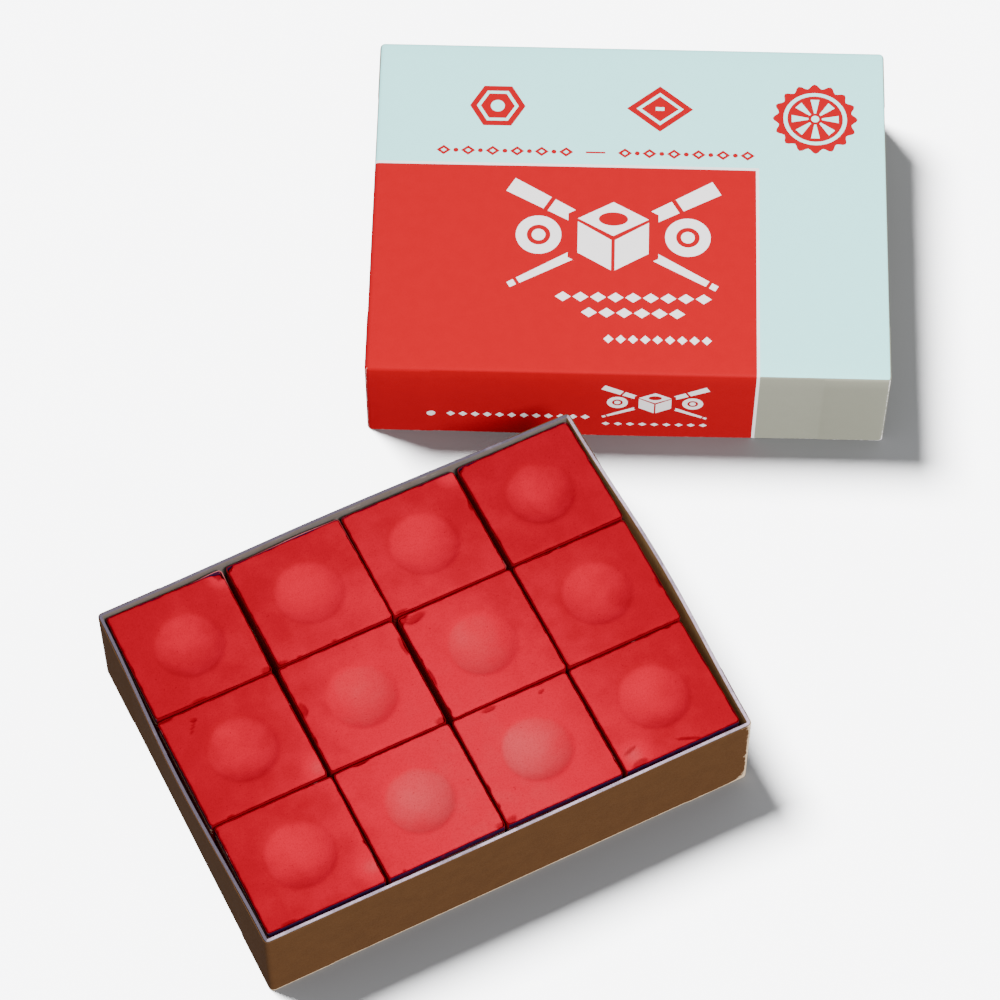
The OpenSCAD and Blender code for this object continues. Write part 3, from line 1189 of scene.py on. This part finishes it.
LID_LEAN_X = 0.22       # how far the middles of the lid's short walls lean out at the mouth
LID_LEAN_Y = 0.28       # and of its long walls
LID_CROWN = 0.16        # how far the middle of the lid's top is crowned


def lid_bow(half_l, half_w, height):
    """The lid's top is a little crowned, and its walls spread slightly towards the mouth."""
    def bow(p, out):
        up = (max(0.0, p.z) / height) ** 1.2
        crown = LID_CROWN * hump(p.x, half_l) * hump(p.y, half_w) + 0.03 * fbm(p, 14.0, SEED)
        lift = -crown * (1 - up) * max(0.0, 1 - p.z / 4.0)
        return spread(p, half_l, half_w, LID_LEAN_X * up, LID_LEAN_Y * up, lift)
    return bow


def add_lid(materials):
    bow = add_board("lid", lid_bow, "lid_board", "lid_board", "board_edge", "board_edge", materials)
    edges_x = (RED_RIGHT - GAP_LINE, RED_RIGHT + GAP_LINE)
    edges_y = (RED_BACK - GAP_LINE, RED_BACK + GAP_LINE)
    sheet = cover("lid", PAPER_T, bow, edges_x, edges_y)
    sheet.add_skin(False, lid_ink, lid_art(sheet.height))
    sheet.add_skin(True, plain("white"))
    sheet.add_rim(sheet.height, "white", "white")
    finish_box(sheet, "lid_printed_paper", "lid_wrap", "lid", materials)


# ---------- The lid's print: plain pictures and rules, with no lettering ----------

def disc(u, v, radius, points=36, start=0.0):
    return [(u + radius * math.cos(start + 2 * math.pi * i / points),
             v + radius * math.sin(start + 2 * math.pi * i / points)) for i in range(points)]


def bar(u0, v0, u1, v1):
    return [(u0, v0), (u1, v0), (u1, v1), (u0, v1)]


def lozenge(u, v, half_u, half_v):
    return [(u - half_u, v), (u, v - half_v), (u + half_u, v), (u, v + half_v)]


def nested(ink, ground, *outlines):
    """Outlines one inside the other, in ink and in the ground's colour by turns."""
    return [(ground if i % 2 else ink, outline) for i, outline in enumerate(outlines)]


def cue(u, v, angle, length, tip, butt, start=0.0, end=1.0):
    """A stretch of a tapered cue that runs through (u, v) at an angle, tip first."""
    run = Vector((math.cos(angle), math.sin(angle)))
    side = Vector((-run.y, run.x))
    middle = Vector((u, v))
    corners = []
    for share, sign in ((start, 1), (end, 1), (end, -1), (start, -1)):
        half_w = blend(tip, butt, share) / 2
        corners.append(tuple(middle + run * length * (share - 0.5) + side * sign * half_w))
    return corners


def cube_picture(u, v, size, ink, ground):
    """A cube seen corner on, as three separate faces, with a round hollow in the top one."""
    rise = size * 0.5
    across = size * 0.87
    shapes = []
    shapes.append((ground, disc(u, v, size * 1.28, 6, math.pi / 6)))
    shapes.append((ink, [(u, v + rise * 2), (u - across, v + rise), (u, v), (u + across, v + rise)]))
    gap = size * 0.09
    upper, crest = v + rise - gap, v - gap * 1.3
    left, right = u - gap / 2, u + gap / 2
    shapes.append((ink, [(u - across, upper), (left, crest), (left, v - size), (u - across, v - rise)]))
    shapes.append((ink, [(u + across, upper), (u + across, v - rise), (right, v - size), (right, crest)]))
    hollow = [(a, v + rise + (b - v - rise) * 0.55) for a, b in disc(u, v + rise, size * 0.36)]
    shapes.append((ground, hollow))
    return shapes


def crossed_cues(u, v, width, height, ink, ground):
    """Two crossed cues with a ball at each side and a chalk cube over the crossing."""
    shapes = []
    angle = math.atan2(height, width)
    length = math.hypot(width, height)
    thin, thick = height * 0.055, height * 0.15
    for lean in (angle, math.pi - angle):
        for start, end in ((0.0, 0.03), (0.045, 0.66), (0.68, 0.80), (0.82, 1.0)):
            shapes.append((ink, cue(u, v, lean, length, thin, thick, start, end)))
    ball = height * 0.19
    for side in (-1, 1):
        centre = u + side * width * 0.36
        shapes += nested(ink, ground, *(disc(centre, v, ball * share) for share in (1, 0.52, 0.3)))
    return shapes + cube_picture(u, v, height * 0.34, ink, ground)


def row_of(count, u0, u1, v, half_u, half_v, ink):
    """A row of equal lozenges from u0 to u1."""
    step = (u1 - u0) / (count - 1)
    return [(ink, lozenge(u0 + step * i, v, half_u, half_v)) for i in range(count)]


def rosette(u, v, radius, ink, ground):
    """A scalloped ring round a disc, with a star of petals left bare in it."""
    lobes = 16
    petals = 8
    edge = []
    for i in range(lobes * 6):
        angle = 2 * math.pi * i / (lobes * 6)
        reach = radius * (1 + 0.07 * math.cos(angle * lobes))
        edge.append((u + reach * math.cos(angle), v + reach * math.sin(angle)))
    shapes = nested(ink, ground, edge, disc(u, v, radius * 0.80), disc(u, v, radius * 0.70))
    for i in range(petals):
        angle = 2 * math.pi * i / petals
        middle_u = u + radius * 0.38 * math.cos(angle)
        middle_v = v + radius * 0.38 * math.sin(angle)
        petal = cue(middle_u, middle_v, angle, radius * 0.42, radius * 0.05, radius * 0.22)
        shapes.append((ground, petal))
    return shapes + [(ground, disc(u, v, radius * 0.10))]


def dozen_rule(u0, u1, v, size, ink, ground):
    """Twelve small open lozenges in two groups of six, with dots between and a dash in the middle."""
    pitch = (u1 - u0) / 13.2
    shapes = []
    for i in range(12):
        centre = u0 + pitch * (i + 0.4 + (1.4 if i > 5 else 0.0))
        shapes += nested(ink, ground, *(lozenge(centre, v, s, s * 0.8) for s in (size, size * 0.4)))
        if i not in (5, 11):
            shapes.append((ink, disc(centre + pitch / 2, v, size * 0.36, 12)))
    middle = (u0 + u1) / 2
    shapes.append((ink, bar(middle - pitch * 0.4, v - 0.2, middle + pitch * 0.4, v + 0.2)))
    return shapes


def lid_art(height):
    """Outlines printed on the lid's top and front, for a lid that is built mouth up."""
    top = crossed_cues(-3.0, -6.6, 38.0, 22.0, "white", "red")
    top += row_of(9, -12.0, 13.6, -19.9, 1.45, 1.05, "white")
    top += row_of(6, -7.2, 8.8, -23.2, 1.45, 1.05, "white")
    top += row_of(9, -3.6, 14.2, -28.8, 0.9, 0.9, "white")
    top += dozen_rule(-36.5, RED_RIGHT, 11.9, 1.35, "red", "mint")
    hexagons = [disc(-24.9, 22.1, radius, 6) for radius in (5.2, 3.9, 3.2)]
    top += nested("red", "mint", *hexagons, disc(-24.9, 22.1, 1.3))
    lozenges = [lozenge(5.4, 22.1, *halves) for halves in ((6.2, 5.2), (4.4, 3.7), (3.5, 2.9))]
    top += nested("red", "mint", *lozenges, bar(4.6, 21.7, 6.2, 22.5))
    top += rosette(34.3, 20.6, 7.4, "red", "mint")

    front = crossed_cues(5.2, 11.4, 19.0, 10.0, "white", "red")
    front += row_of(9, -3.6, 14.2, 4.1, 0.75, 0.55, "white")
    front += [("white", disc(-35.6, 6.2, 0.8, 16))]
    front += row_of(12, -32.0, -7.4, 6.2, 0.8, 0.8, "white")
    front = [(ink, [(u, height - v) for u, v in outline]) for ink, outline in front]
    return {"floor": top, "front": front}


# ---------- The scene ----------

def main():
    add_camera()
    add_studio()
    materials = make_materials()
    for row in range(1, ROWS + 1):
        for column in range(1, COLUMNS + 1):
            add_chalk(row, column, materials)
            add_label(row, column, materials)
    add_tray(materials)
    add_lid(materials)


main()
